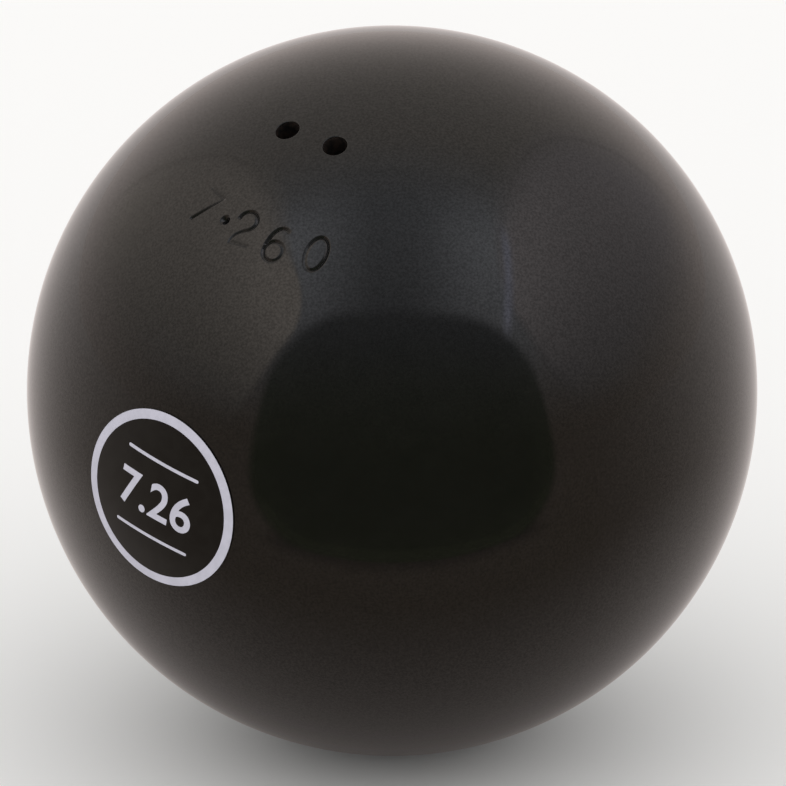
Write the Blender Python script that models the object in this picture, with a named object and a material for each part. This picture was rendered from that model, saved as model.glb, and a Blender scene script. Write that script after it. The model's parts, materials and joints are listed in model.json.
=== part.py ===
"""Shot put: a turned cast-iron ball, brought to its mass with lead behind a screwed plug.

The origin is the ball's centre. The plug, its tapped mouth and the chamber below it share
one axis, so they are modelled upright in the frame of the empty plug_axis. That empty is
then turned to the way the ball lies: the plug on top, leaning forward and to the left,
and the round label at half height, facing front left.
"""

import math

import bmesh
import bpy
from mathutils import Matrix, Vector

# Driving dimensions, in metres and radians
CLEARANCE = 0.0003  # gap between neighbouring pieces
SEGMENTS = 48  # facets round the ball, its bore and the threads

BALL_DIAMETER = 0.125

PLUG_LEAN = math.radians(25.3)  # plug's axis from the vertical
PLUG_HEADING = math.radians(-121.1)  # side that it leans to, counted from +X
PLUG_TURN = math.radians(84.2)  # line of the spanner holes about the plug's own axis

THREAD_DIAMETER = 0.020
THREAD_PITCH = 0.0025
THREAD_LENGTH = 0.012
THREAD_PLAY = 0.0003  # radial play between the two threads
FLANK_ANGLE = math.radians(30)  # half of the angle between two flanks
HEAD_HEIGHT = 0.004  # crown of the plug down to the underside of its collar
COLLAR_WIDTH = 0.0005  # how far the collar stands out past the thread
HEAD_OVERLAP = 0.0005  # how far the threaded barrel runs up into the head

SPANNER_HOLE_DIAMETER = 0.0042
SPANNER_HOLE_SPACING = 0.010
SPANNER_HOLE_DEPTH = 0.006  # below the crown of the plug

WASHER_THICKNESS = 0.0015
SPIGOT_DIAMETER = 0.008
LIP_WIDTH = 0.0006  # how far the lip that keeps the washer on stands out
LIP_HEIGHT = 0.0012

SEAT_WIDTH = 0.001  # least ring of the ball that the washer bears on
DRILL_STEP = 0.001  # the chamber's drill comes in whole millimetres
CHAMBER_DEPTH = 0.058  # washer's seat down to where the drill point starts
DRILL_POINT = math.radians(118)
WAD_THICKNESS = 0.008
WAD_EDGE = 0.0008

LABEL_DIAMETER = 0.03175
LABEL_THICKNESS = 0.0002
LABEL_BOND = 0.0001  # adhesive under the label
LABEL_BEARING = math.radians(-94.1)  # about the plug's axis, from the spanner holes' line
LABEL_DISTANCE = math.radians(65.0)  # from the plug's axis, seen from the ball's centre
LABEL_LEAN = math.radians(7)  # its upright direction, clockwise from the way to the plug

MARK_HEIGHT = 0.0062
MARK_WIDTH = 0.0036
MARK_STROKE = 0.0009
MARK_DEPTH = 0.0005
DOT_DIAMETER = 0.0016
MARK_STEPS = 5  # straight runs in each quarter of a curved stroke
# Each character was punched by hand: its bearing, distance and lean, in degrees as above
MARKS = (
    ("7", -121.2, 19.7, -7),
    ("dot", -106.6, 18.8, 0),
    ("2", -93.0, 18.7, -7),
    ("6", -74.3, 20.3, 8),
    ("0", -55.8, 22.2, 28),
)

# Heights on the plug's axis, worked out from the sizes above
CROWN = BALL_DIAMETER / 2
COLLAR_UNDERSIDE = CROWN - HEAD_HEIGHT
COLLAR_SEAT = COLLAR_UNDERSIDE - CLEARANCE
PLUG_FOOT = COLLAR_UNDERSIDE - THREAD_LENGTH
WASHER_TOP = PLUG_FOOT - CLEARANCE
WASHER_SEAT = WASHER_TOP - WASHER_THICKNESS - CLEARANCE
LIP_TOP = WASHER_SEAT
LIP_BOTTOM = LIP_TOP - LIP_HEIGHT
CHAMBER_FLOOR = WASHER_SEAT - CHAMBER_DEPTH

# Radii that follow from the sizes above
THREAD_MAJOR = THREAD_DIAMETER / 2
THREAD_DEPTH = 5 / 8 * THREAD_PITCH * math.cos(FLANK_ANGLE)  # as on metric threads
THREAD_MINOR = THREAD_MAJOR - THREAD_DEPTH
THREAD_RELIEF = THREAD_MAJOR + CLEARANCE
COLLAR_RADIUS = THREAD_MAJOR + COLLAR_WIDTH
MOUTH_RADIUS = COLLAR_RADIUS + CLEARANCE
WASHER_RADIUS = THREAD_MINOR - 2 * CLEARANCE
# The chamber is as wide as a drill can make it and still leave the washer its seat
CHAMBER_DIAMETER = DRILL_STEP * math.floor(2 * (WASHER_RADIUS - SEAT_WIDTH) / DRILL_STEP)
CHAMBER_RADIUS = CHAMBER_DIAMETER / 2
FILL_RADIUS = CHAMBER_RADIUS - CLEARANCE
# Seven equal pellets, six around one, fill the chamber's width
PELLET_RADIUS = (CHAMBER_RADIUS - 2 * CLEARANCE) / 3
PELLET_RING = 2 * PELLET_RADIUS + CLEARANCE

WAD_TOP = LIP_BOTTOM - CLEARANCE
PELLET_CENTRE = WAD_TOP - WAD_THICKNESS - CLEARANCE - PELLET_RADIUS
LEAD_TOP = PELLET_CENTRE - PELLET_RADIUS - CLEARANCE


def clear_scene():
    for obj in list(bpy.data.objects):
        bpy.data.objects.remove(obj, do_unlink=True)


def finish_of(name, colour, roughness, metallic=0.0):
    material = bpy.data.materials.new(name)
    material.use_nodes = True
    shader = material.node_tree.nodes["Principled BSDF"]
    shader.inputs["Base Color"].default_value = (*colour, 1.0)
    shader.inputs["Roughness"].default_value = roughness
    shader.inputs["Metallic"].default_value = metallic
    material.diffuse_color = (*colour, 1.0)
    return material


def finished_mesh(name, bm, material=None):
    """Closes a bmesh off as a smooth mesh whose faces point out."""
    bmesh.ops.remove_doubles(bm, verts=bm.verts, dist=1e-6)
    bmesh.ops.recalc_face_normals(bm, faces=bm.faces)
    mesh = bpy.data.meshes.new(name)
    bm.to_mesh(mesh)
    bm.free()
    mesh.shade_smooth()
    mesh.set_sharp_from_angle(angle=math.radians(25))
    if material:
        mesh.materials.append(material)
    return mesh


def placed(name, data, parent, location=(0.0, 0.0, 0.0), turn=None):
    obj = bpy.data.objects.new(name, data)
    obj.parent = parent
    obj.location = location
    if turn is not None:
        obj.rotation_euler = turn.to_euler()
    bpy.context.scene.collection.objects.link(obj)
    return obj


def cutter(name, mesh, parent, location=(0.0, 0.0, 0.0), turn=None):
    obj = placed(name, mesh, parent, location, turn)
    obj.hide_render = True
    obj.display_type = "WIRE"
    return obj


def combine(obj, other, operation):
    modifier = obj.modifiers.new(other.name, "BOOLEAN")
    modifier.operation = operation
    modifier.solver = "EXACT"
    modifier.object = other


def arc(radius, start, end, steps, centre=(0.0, 0.0), squeeze=1.0):
    """Points on an arc, its angles counted from the first axis; squeeze narrows that axis."""
    angles = [start + (end - start) * i / steps for i in range(steps + 1)]
    return [
        (centre[0] + squeeze * radius * math.cos(a), centre[1] + radius * math.sin(a))
        for a in angles
    ]


def bend(start, corner, end, steps):
    """Points on a curve that leaves start for corner and comes from corner into end."""
    start, corner, end = Vector(start), Vector(corner), Vector(end)
    points = []
    for i in range(steps + 1):
        share = i / steps
        points.append(start.lerp(corner, share).lerp(corner.lerp(end, share), share))
    return points


def turned_mesh(name, outline, material=None, closed=False, base=0.0):
    """A turned solid from (radius, height) points, with its own origin at height base."""
    bm = bmesh.new()
    verts = [bm.verts.new((radius, 0.0, height - base)) for radius, height in outline]
    edges = [bm.edges.new(pair) for pair in zip(verts, verts[1:])]
    if closed:
        edges.append(bm.edges.new((verts[-1], verts[0])))
    bmesh.ops.spin(
        bm,
        geom=verts + edges,
        axis=(0.0, 0.0, 1.0),
        cent=(0.0, 0.0, 0.0),
        angle=2 * math.pi,
        steps=SEGMENTS,
        use_merge=True,
    )
    return finished_mesh(name, bm, material)


def threaded_mesh(name, crest, root, low, high, lead_in=False, base=0.0):
    """A right-hand threaded barrel between two heights, closed by a flat face at each end.

    A ridge's place depends on its height alone, so a barrel and the bore that takes it
    are in mesh. With lead_in, the ridges start from nothing at the lower end.
    """
    half_crest = THREAD_PITCH / 16  # the crest's flat is an eighth of the pitch
    half_ridge = half_crest + (crest - root) * math.tan(FLANK_ANGLE)
    ridge = (
        (-half_ridge, root),
        (-half_crest, crest),
        (half_crest, crest),
        (half_ridge, root),
    )
    turns = range(math.floor(low / THREAD_PITCH) - 1, math.ceil(high / THREAD_PITCH) + 1)

    bm = bmesh.new()
    columns = []
    for i in range(SEGMENTS):
        angle = 2 * math.pi * i / SEGMENTS
        column = []
        for turn in turns:
            for rise, radius in ridge:
                height = THREAD_PITCH * (turn + i / SEGMENTS) + rise
                if lead_in:
                    radius = min(radius, root + max(0.0, height - low))
                place = (radius * math.cos(angle), radius * math.sin(angle), height)
                column.append(bm.verts.new(place))
        columns.append(column)
    columns.append(columns[0][len(ridge) :])
    for column, following in zip(columns, columns[1:]):
        for a, b, c, d in zip(column, following, following[1:], column[1:]):
            bm.faces.new((a, b, c, d))

    for height, up in ((high, 1), (low, -1)):
        bmesh.ops.bisect_plane(
            bm,
            geom=bm.verts[:] + bm.edges[:] + bm.faces[:],
            plane_co=(0.0, 0.0, height),
            plane_no=(0.0, 0.0, up),
            clear_outer=True,
        )
    bmesh.ops.holes_fill(bm, edges=[edge for edge in bm.edges if edge.is_boundary])
    bmesh.ops.translate(bm, verts=bm.verts, vec=(0.0, 0.0, -base))
    return finished_mesh(name, bm)


def turn_to_surface(bearing, distance, lean):
    """Turns +Z to a place on the ball and +Y to an upright direction on its surface."""
    return (
        Matrix.Rotation(bearing, 3, "Z")
        @ Matrix.Rotation(distance, 3, "Y")
        @ Matrix.Rotation(math.pi / 2 - lean, 3, "Z")
    )


def make_ball(axis, paint):
    rim = math.acos(MOUTH_RADIUS / CROWN)
    drill_tip = CHAMBER_FLOOR - CHAMBER_RADIUS / math.tan(DRILL_POINT / 2)
    outline = arc(CROWN, -math.pi / 2, rim, SEGMENTS // 2) + [
        (MOUTH_RADIUS, COLLAR_SEAT),
        (THREAD_MINOR, COLLAR_SEAT),
        (THREAD_MINOR, PLUG_FOOT),
        (THREAD_RELIEF, PLUG_FOOT),
        (THREAD_RELIEF, WASHER_SEAT),
        (CHAMBER_RADIUS, WASHER_SEAT),
        (CHAMBER_RADIUS, CHAMBER_FLOOR),
        (0.0, drill_tip),
    ]
    ball = placed("ball", turned_mesh("ball", outline, paint), axis)

    # The tap's ridges run clear of the bore's wall, into the mouth and the relief below
    middle_of_relief = (PLUG_FOOT + WASHER_SEAT) / 2
    middle_of_mouth = (COLLAR_SEAT + CROWN) / 2
    tap_root = THREAD_MINOR - CLEARANCE
    tap = threaded_mesh("tap", THREAD_MAJOR, tap_root, middle_of_relief, middle_of_mouth)
    combine(ball, cutter("tap", tap, axis), "DIFFERENCE")
    return ball


def strokes_of(mark):
    """Centre lines of a punched figure as (points, closed), about the figure's middle.

    The figures' proportions are given as shares of half their width and height.
    """
    half, quarter = MARK_WIDTH / 2, math.pi / 2
    top = MARK_HEIGHT / 2
    if mark == "7":
        return [([(-half, top), (half, top), (-0.3 * half, -top)], False)]
    if mark == "2":
        hook = arc(half, 1.9 * quarter, -0.8 * quarter, 2 * MARK_STEPS, (0.0, top - half))
        neck = bend(hook[-1], (-half, -0.45 * top), (-half, -top), MARK_STEPS)
        return [(hook + neck[1:] + [(half, -top)], False)]
    if mark == "6":
        bowl = arc(half, 0.0, 4 * quarter, 4 * MARK_STEPS, (0.0, half - top))[:-1]
        reach, width = MARK_HEIGHT - half, 1.3 * half
        centre = (width - half, half - top)
        back = arc(reach, 1.85 * quarter, 0.75 * quarter, MARK_STEPS, centre, width / reach)
        return [(bowl, True), (back, False)]
    oval = arc(top, 0.0, 4 * quarter, 4 * MARK_STEPS, squeeze=half / top)[:-1]
    return [(oval, True)]


def stroke_mesh(name, points, closed):
    """A round bar along a stroke that follows the ball, to sink to the mark's depth."""
    bar = (MARK_STROKE**2 / 4 + MARK_DEPTH**2) / (2 * MARK_DEPTH)
    curve = bpy.data.curves.new(name, "CURVE")
    curve.dimensions = "3D"
    curve.bevel_depth = bar
    curve.bevel_resolution = 2
    curve.use_fill_caps = True
    spline = curve.splines.new("POLY")
    spline.points.add(len(points) - 1)
    spline.use_cyclic_u = closed
    for point, (x, y) in zip(spline.points, points):
        outward = Vector((x, y, CROWN)).normalized()
        point.co = (*(outward * (CROWN + bar - MARK_DEPTH)), 1.0)
    guide = placed(name, curve, None)
    graph = bpy.context.evaluated_depsgraph_get()
    mesh = bpy.data.meshes.new_from_object(guide.evaluated_get(graph))
    bpy.data.objects.remove(guide)
    bm = bmesh.new()
    bm.from_mesh(mesh)
    return finished_mesh(name, bm)


def dot_mesh(name):
    bm = bmesh.new()
    place = Matrix.Translation((0.0, 0.0, CROWN + DOT_DIAMETER / 2 - MARK_DEPTH))
    bmesh.ops.create_icosphere(bm, subdivisions=2, radius=DOT_DIAMETER / 2, matrix=place)
    return finished_mesh(name, bm)


def stamp_marks(ball, axis):
    for mark, *angles in MARKS:
        turn = turn_to_surface(*map(math.radians, angles))
        if mark == "dot":
            combine(ball, cutter("punch_dot", dot_mesh("dot"), axis, turn=turn), "DIFFERENCE")
            continue
        for number, (points, closed) in enumerate(strokes_of(mark)):
            name = f"punch_{mark}_{number}"
            punch = cutter(name, stroke_mesh(name, points, closed), axis, turn=turn)
            combine(ball, punch, "DIFFERENCE")


def make_plug(axis, paint):
    """Domed head, threaded barrel, and a spigot whose lip keeps the washer on."""
    spigot = SPIGOT_DIAMETER / 2
    lip = spigot + LIP_WIDTH
    rim = math.acos(COLLAR_RADIUS / CROWN)
    outline = [
        (0.0, LIP_BOTTOM),
        (lip - LIP_HEIGHT / 3, LIP_BOTTOM),
        (lip, LIP_BOTTOM + LIP_HEIGHT / 3),
        (lip, LIP_TOP),
        (spigot, LIP_TOP),
        (spigot, COLLAR_UNDERSIDE),
        (COLLAR_RADIUS, COLLAR_UNDERSIDE),
        *arc(CROWN, rim, math.pi / 2, 4),
    ]
    foot = (0.0, 0.0, PLUG_FOOT)
    plug = placed("plug", turned_mesh("plug", outline, paint, base=PLUG_FOOT), axis, foot)

    barrel = threaded_mesh(
        "barrel",
        THREAD_MAJOR - THREAD_PLAY,
        THREAD_MINOR - THREAD_PLAY,
        PLUG_FOOT,
        COLLAR_UNDERSIDE + HEAD_OVERLAP,
        lead_in=True,
        base=PLUG_FOOT,
    )
    combine(plug, cutter("barrel", barrel, axis, foot), "UNION")

    bottom = CROWN - SPANNER_HOLE_DEPTH
    length = 2 * SPANNER_HOLE_DEPTH
    for side in (-1, 1):
        bm = bmesh.new()
        bmesh.ops.create_cone(
            bm,
            cap_ends=True,
            segments=24,
            radius1=SPANNER_HOLE_DIAMETER / 2,
            radius2=SPANNER_HOLE_DIAMETER / 2,
            depth=length,
        )
        drill = finished_mesh("drill", bm)
        place = (side * SPANNER_HOLE_SPACING / 2, 0.0, bottom + length / 2)
        combine(plug, cutter(f"drill_{side:+d}", drill, axis, place), "DIFFERENCE")
    return plug


def make_washer(axis, fibre):
    bore = SPIGOT_DIAMETER / 2 + CLEARANCE
    outline = [
        (bore, 0.0),
        (WASHER_RADIUS, 0.0),
        (WASHER_RADIUS, WASHER_THICKNESS),
        (bore, WASHER_THICKNESS),
    ]
    mesh = turned_mesh("seal_washer", outline, fibre, closed=True)
    return placed("seal_washer", mesh, axis, (0.0, 0.0, WASHER_TOP - WASHER_THICKNESS))


def make_wad(axis, felt):
    half = WAD_THICKNESS / 2
    inset, quarter = FILL_RADIUS - WAD_EDGE, math.pi / 2
    outline = [
        (0.0, -half),
        *arc(WAD_EDGE, -quarter, 0.0, 2, (inset, WAD_EDGE - half)),
        *arc(WAD_EDGE, 0.0, quarter, 2, (inset, half - WAD_EDGE)),
        (0.0, half),
    ]
    mesh = turned_mesh("packing_wad", outline, felt)
    return placed("packing_wad", mesh, axis, (0.0, 0.0, WAD_TOP - half))


def make_pellets(axis, lead):
    """One layer of pellets under the wad: one in the middle and six around it."""
    bm = bmesh.new()
    bmesh.ops.create_icosphere(bm, subdivisions=2, radius=PELLET_RADIUS)
    mesh = finished_mesh("trim_pellet", bm, lead)
    places = [(0.0, 0.0, PELLET_CENTRE)]
    for i in range(6):
        x, y = arc(PELLET_RING, i * math.pi / 3, i * math.pi / 3, 1)[0]
        places.append((x, y, PELLET_CENTRE))
    for number, place in enumerate(places, 1):
        placed(f"trim_pellet_{number}", mesh, axis, place)


def make_lead_core(axis, lead):
    """Lead poured into the chamber, down into the drill point."""
    half_point = DRILL_POINT / 2
    drill_tip = CHAMBER_FLOOR - CHAMBER_RADIUS / math.tan(half_point)
    tip = drill_tip + CLEARANCE / math.sin(half_point)
    outline = [
        (0.0, tip),
        (FILL_RADIUS, tip + FILL_RADIUS / math.tan(half_point)),
        (FILL_RADIUS, LEAD_TOP),
        (0.0, LEAD_TOP),
    ]
    return placed("lead_core", turned_mesh("lead_core", outline, lead), axis)


def make_label(axis, vinyl):
    """A round sticker that follows the ball."""
    inner = CROWN + LABEL_BOND
    outer = inner + LABEL_THICKNESS
    edge = math.pi / 2 - math.asin(LABEL_DIAMETER / 2 / CROWN)
    rings = 3
    outline = arc(inner, math.pi / 2, edge, rings) + arc(outer, edge, math.pi / 2, rings)
    turn = turn_to_surface(LABEL_BEARING, LABEL_DISTANCE, LABEL_LEAN)
    return placed("label", turned_mesh("label", outline, vinyl), axis, turn=turn)


def main():
    clear_scene()
    black_paint = finish_of("black_paint", (0.006, 0.006, 0.006), 0.12)
    plug_paint = finish_of("plug_paint", (0.006, 0.006, 0.006), 0.15)
    red_fibre = finish_of("red_fibre", (0.28, 0.05, 0.03), 0.7)
    grey_felt = finish_of("grey_felt", (0.23, 0.22, 0.2), 0.95)
    dull_lead = finish_of("dull_lead", (0.2, 0.21, 0.23), 0.55, 1.0)
    label_vinyl = finish_of("label_vinyl", (0.008, 0.008, 0.009), 0.2)

    axis = placed("plug_axis", None, None)
    axis.rotation_euler = (
        Matrix.Rotation(PLUG_HEADING, 3, "Z")
        @ Matrix.Rotation(PLUG_LEAN, 3, "Y")
        @ Matrix.Rotation(PLUG_TURN, 3, "Z")
    ).to_euler()

    ball = make_ball(axis, black_paint)
    stamp_marks(ball, axis)
    make_plug(axis, plug_paint)
    make_washer(axis, red_fibre)
    make_wad(axis, grey_felt)
    make_pellets(axis, dull_lead)
    make_lead_core(axis, dull_lead)
    make_label(axis, label_vinyl)


main()
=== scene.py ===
"""Looks of the shot put: gloss black paint over iron, a bare steel plug and a round label.

Lengths are in metres and the origin is the ball's centre. Most pieces are modelled upright
in the plug's frame, whose +Z is the plug's axis and whose +X runs along the line of its two
spanner holes, and their objects are then turned to it.
"""

import json
import math
import random

import bmesh
import bpy
import numpy as np
from mathutils import Matrix, Vector, noise
from mathutils.geometry import delaunay_2d_cdt


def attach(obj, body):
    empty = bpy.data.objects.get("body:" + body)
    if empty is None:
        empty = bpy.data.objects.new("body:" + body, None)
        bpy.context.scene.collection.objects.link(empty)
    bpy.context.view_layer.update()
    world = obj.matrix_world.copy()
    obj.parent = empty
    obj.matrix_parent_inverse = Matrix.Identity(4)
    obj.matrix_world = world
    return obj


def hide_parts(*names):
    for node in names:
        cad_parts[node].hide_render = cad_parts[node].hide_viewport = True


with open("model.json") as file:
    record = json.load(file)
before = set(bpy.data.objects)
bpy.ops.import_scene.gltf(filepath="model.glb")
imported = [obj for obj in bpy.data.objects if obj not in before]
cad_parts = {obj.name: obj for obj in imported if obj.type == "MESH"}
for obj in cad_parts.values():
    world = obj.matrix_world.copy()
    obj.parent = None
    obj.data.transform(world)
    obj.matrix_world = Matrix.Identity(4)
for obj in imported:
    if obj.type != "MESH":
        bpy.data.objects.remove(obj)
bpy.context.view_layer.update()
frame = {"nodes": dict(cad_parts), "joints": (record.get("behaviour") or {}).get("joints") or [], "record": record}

# The camera stands where the photograph's did: in front of the ball and above it
CAMERA_ELEVATION = math.radians(23)
CAMERA_DISTANCE = 5.604
CAMERA_LENS = 1500.0  # in millimetres, with a sensor 36 mm wide
CAMERA_RIGHT = 0.000156
CAMERA_RISE = -0.000411

BALL_RADIUS = 0.0625
SEAM = 0.00002  # gap between two pieces that bear on each other
MOUTH_SEAM = 0.00001  # gap round the plug's collar, nearly closed by the paint
EDGE = 0.00001  # rounding of the paint on both sides of that gap

THREAD_DIAMETER = 0.020
THREAD_PITCH = 0.0025
THREAD_LENGTH = 0.012
THREAD_PLAY = 0.00005
FLANK_ANGLE = math.radians(30)
HEAD_HEIGHT = 0.004
COLLAR_WIDTH = 0.0005
COLLAR_CHAMFER = 0.0002

HOLE_RADIUS = 0.0021
HOLE_DEPTH = 0.006
HOLE_EDGE = 0.0002  # the paint's rounding on the edge of a spanner hole

WASHER_SPACE = 0.0021  # between the plug's foot and its lip
WASHER_RADIUS = 0.0081
WASHER_EDGE = 0.00025
SPIGOT_RADIUS = 0.004
LIP_WIDTH = 0.0006
LIP_HEIGHT = 0.0012
RELIEF_WIDTH = 0.0003
BREAK_EDGE = 0.0002  # sharp turned edges are broken by this much

CHAMBER_RADIUS = 0.007
CHAMBER_DEPTH = 0.058
DRILL_POINT = math.radians(118)
FILL_GAP = 0.00008  # between the chamber's wall and what fills it
WAD_THICKNESS = 0.0083
WAD_EDGE = 0.0011
WAD_LUMPS = ((0.0015, 3.0), (0.0005, 7.0))  # size and seed of the lumps in its surface
PELLET_RADIUS = 0.0022
PELLET_DENTS = 7
PELLET_DENTED = (0.93, 0.98)  # what a dent leaves of the radius
PELLET_UNEVEN = 0.02  # how far it is out of round, in radii
PELLET_LUMPS = 1.5  # for each radius along its surface
LEAD_HEIGHT = 0.03015  # top of the poured lead, on the plug's axis
LEAD_DIMPLE = 0.0008  # depth of the hollow that it shrank to in the middle
LEAD_DIMPLE_FALL = 2.2  # how fast that hollow ends towards the wall
LEAD_LUMPS = ((0.003, 11.0),)

LABEL_RADIUS = 0.015875
LABEL_THICKNESS = 0.0002
LABEL_EDGE = 0.00006
LABEL_LEAN = math.radians(7)  # its upright direction, clockwise from the way to the plug
RING_RADII = (0.01575, 0.0141)  # outer and inner
INK_THICKNESS = 0.00002
NUMBER_HEIGHT = 0.007
NUMBER_WEIGHT = 0.0001  # how much the figures' outlines are spread
RULE_LENGTH = 0.015
RULE_WIDTH = 0.0006
RULE_RISE = 0.0072  # from the number's middle to the rule above or below it

MARK_HEIGHT = 0.0062
MARK_WIDTH = 0.0036
MARK_DEPTH = 0.00038
MARK_REACH = 0.00048  # from the middle of a stroke to where the paint is level again
DOT_REACH = 0.00105
DOT_DEPTH = 0.0011
STROKE_POWER = 1.4  # a higher power narrows a stroke's bottom
MARKED_CAP = math.radians(28)  # the cap of the ball that holds all the figures
PAINT_DEPTH = 1.2 * DOT_DEPTH  # faces this far below the surface are painted too
# The punch was held at a tilt: the share of the full depth at a figure's middle, what a
# figure's height to the heavier side adds, and the least share
PUNCH_FORCE = 0.75
PUNCH_TILT = 0.9
PUNCH_LEAST = 0.3
# Each figure was punched by hand: its bearing and distance from the plug's axis, its lean,
# and the way to the side where the punch bit deeper, in degrees
MARKS = (
    ("7", -120.8, 19.7, -7, -60),
    ("dot", -105.6, 19.1, 0, 0),
    ("2", -93.0, 18.7, -7, 100),
    ("6", -74.3, 20.3, 8, 170),
    ("0", -55.8, 22.2, 28, 20),
)

# How fine the meshes are: columns round a piece, rows along it, and spacings
BALL_COLUMNS = 256
BALL_ROWS = 112
PLUG_COLUMNS = 192
HOLE_COLUMNS = 64
WASHER_COLUMNS = 128
WAD_COLUMNS = 160
LEAD_COLUMNS = 96
LABEL_COLUMNS = 160
BORE_STEPS = 12  # rows for each turn of the ball's thread
BARREL_STEPS = 16  # and of the plug's
SKIN_MESH = 0.0009
MARK_MESH = 0.00006  # over the punched figures
CROWN_MESH = 0.0005
WASHER_MESH = 0.0006
WAD_MESH = 0.0003
LEAD_MESH = 0.0012
PRINT_MESH = 0.0007

# Heights on the plug's axis
COLLAR_SEAT = BALL_RADIUS - HEAD_HEIGHT
PLUG_FOOT = COLLAR_SEAT - THREAD_LENGTH
LIP_TOP = PLUG_FOOT - WASHER_SPACE
LIP_BOTTOM = LIP_TOP - LIP_HEIGHT
CHAMBER_FLOOR = LIP_TOP - CHAMBER_DEPTH
DRILL_TIP = CHAMBER_FLOOR - CHAMBER_RADIUS / math.tan(DRILL_POINT / 2)
HOLE_FLOOR = BALL_RADIUS - HOLE_DEPTH

COLLAR_RADIUS = THREAD_DIAMETER / 2 + COLLAR_WIDTH
MOUTH_RADIUS = COLLAR_RADIUS + MOUTH_SEAM
THREAD_CREST = THREAD_DIAMETER / 2
THREAD_ROOT = THREAD_CREST - 5 / 8 * THREAD_PITCH * math.cos(FLANK_ANGLE)
FILL_RADIUS = CHAMBER_RADIUS - FILL_GAP
FILM_RADIUS = BALL_RADIUS + SEAM + LABEL_THICKNESS

QUARTER = math.pi / 2
WELD = 1e-6
TINY = 1e-9

# Each material's darker and paler tone
TONES = {
    "paint": ((0.0032, 0.0032, 0.003), (0.0055, 0.0053, 0.005)),
    "bare_iron": ((0.22, 0.21, 0.2), (0.4, 0.39, 0.37)),
    "bright_steel": ((0.4, 0.4, 0.39), (0.58, 0.57, 0.55)),
    "red_fibre": ((0.2, 0.022, 0.014), (0.33, 0.05, 0.03)),
    "grey_felt": ((0.15, 0.145, 0.135), (0.27, 0.26, 0.245)),
    "dull_lead": ((0.22, 0.225, 0.235), (0.31, 0.315, 0.33)),
    "label_vinyl": ((0.003, 0.003, 0.0028), (0.005, 0.005, 0.0045)),
    "pale_ink": ((0.5, 0.492, 0.57), (0.545, 0.535, 0.62)),
    "hole_grime": ((0.001, 0.0006, 0.0004), (0.022, 0.0125, 0.009)),
}
# Sizes of the patches, smears, grain and orange peel in the paint
PAINT_PATCH = 0.004
PAINT_SMEAR = 0.018
PAINT_GRAIN = 0.0004
PAINT_PEEL = 0.0012
PEEL_DEPTH = 0.000001
GRAIN_SHINE = (0.37, 0.63)  # specular level of the dullest and the brightest grains
METAL_STAIN = 0.0025
# Noise lies round 0.5, and a look changes over one of these spans of it
NOISE_WIDE = (0.25, 0.75)
NOISE_MIDDLE = (0.3, 0.7)
NOISE_NARROW = (0.35, 0.65)
NOISE_HIGH = (0.4, 0.7)

# The studio is a white light tent, and the ball mirrors its walls. A ramp below is where it
# starts and where it ends, and its values there when they aren't 0 and 1.
FALL = (1.0, 0.0)
SOFT_LIGHT = 1.0
WALL_WHITE = (0.96, 0.85, 0.81)
WALL_DIM = (0.3, 0.235, 0.185)
WALL_TURN = (-0.7, 1.4)  # way back over which the walls go from dim to white
WALL_TOP = (0.0, 0.8)  # height over which they turn into the roof
ROOF_LEVEL = (-1.15, -0.13, 0.17, 0.53)
ROOF_STEP = (-0.02, 0.02, 0.0, 0.05)  # a step in its level, straight above
ROOF_STEP_LEAN = 0.14
ROOF_BESIDE = (0.05, 0.5, 0.0, 1.09)  # how much lighter it is to the sides
ROOF_BESIDE_END = (-0.3, 0.25, *FALL)  # and how far back
ROOF_TURN = (-0.15, 0.42)  # way back over which its tint turns warm
ROOF_COOL = (0.98, 1.0, 1.07)
ROOF_WARM = (1.1, 1.0, 0.92)

# The lit side walls, left and right, in ways back and up for each metre to the side: the
# middle, half size, corner radius and lean of the wire hoop round each, its tint, and its
# levels from foot to top, in front and at the rear
SIDE_WALLS = {
    -1: ((0.03, 0.7), (1.08, 0.98), 0.65, 0.39, (1.12, 1.0, 0.9), (0.15, 1.16), (0.82, 0.57)),
    1: ((0.3, 0.745), (1.05, 0.99), 0.9, 0.17, (1.1, 1.0, 1.01), (0.15, 1.08), (0.61, 0.55)),
}
LEAST_SIDEWAYS = 0.001  # keeps ways back and up finite
SIDE_REAR = (-0.7, 1.6)  # way back from the front level to the rear one
SIDE_RISE = (-0.4, 1.4)  # way up from the foot's level to the top's
SIDE_FOOT = (0.0, 0.4)  # way up over which the wall comes out of the floor
HOOP_BLUR = (-0.9, 0.4, 0.05, 0.45)  # the wall's edge is softer to the rear
HOOP_SHADE = (0.01, 0.07, 0.1, 0.0)  # what the wire takes away, by the distance to it
# The seam between the roof and the right wall gleams, and rises by a slope to the back
GLEAM_RISE = 1.83
GLEAM_SLOPE = 0.85
GLEAM_START = (-1.1, -0.85)
GLEAM_END = (-0.4, -0.1, *FALL)
GLEAM_REACH = (0.0, 0.16, *FALL)
GLEAM_COLOUR = (1.3, 1.32, 1.62)

FLOOR_WHITE = (0.97, 0.96, 0.945)
FLOOR_HALF = 4.0
# A sheet on the floor that only the ball mirrors: its colour is painted shade, dim in front of the ball and beside
# it
SHADE_SHEET_WHITE = (0.98, 0.895, 0.87)
SHADE_SHEET_RISE = 0.0001
PAINTED_SHADE_REACH = (-0.021, 0.109)  # distance from below the ball over which it goes dim
PAINTED_SHADE_STRETCH = 0.5  # to the sides and the back that distance counts for less
PAINTED_FOOT_SHADE = (-0.152, -0.13, 0.45, 0.0)  # the opening's foot shades it, by the way back
FOOT_WIDTH = (0.09, 0.14, *FALL)  # and by the way to the side

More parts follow.
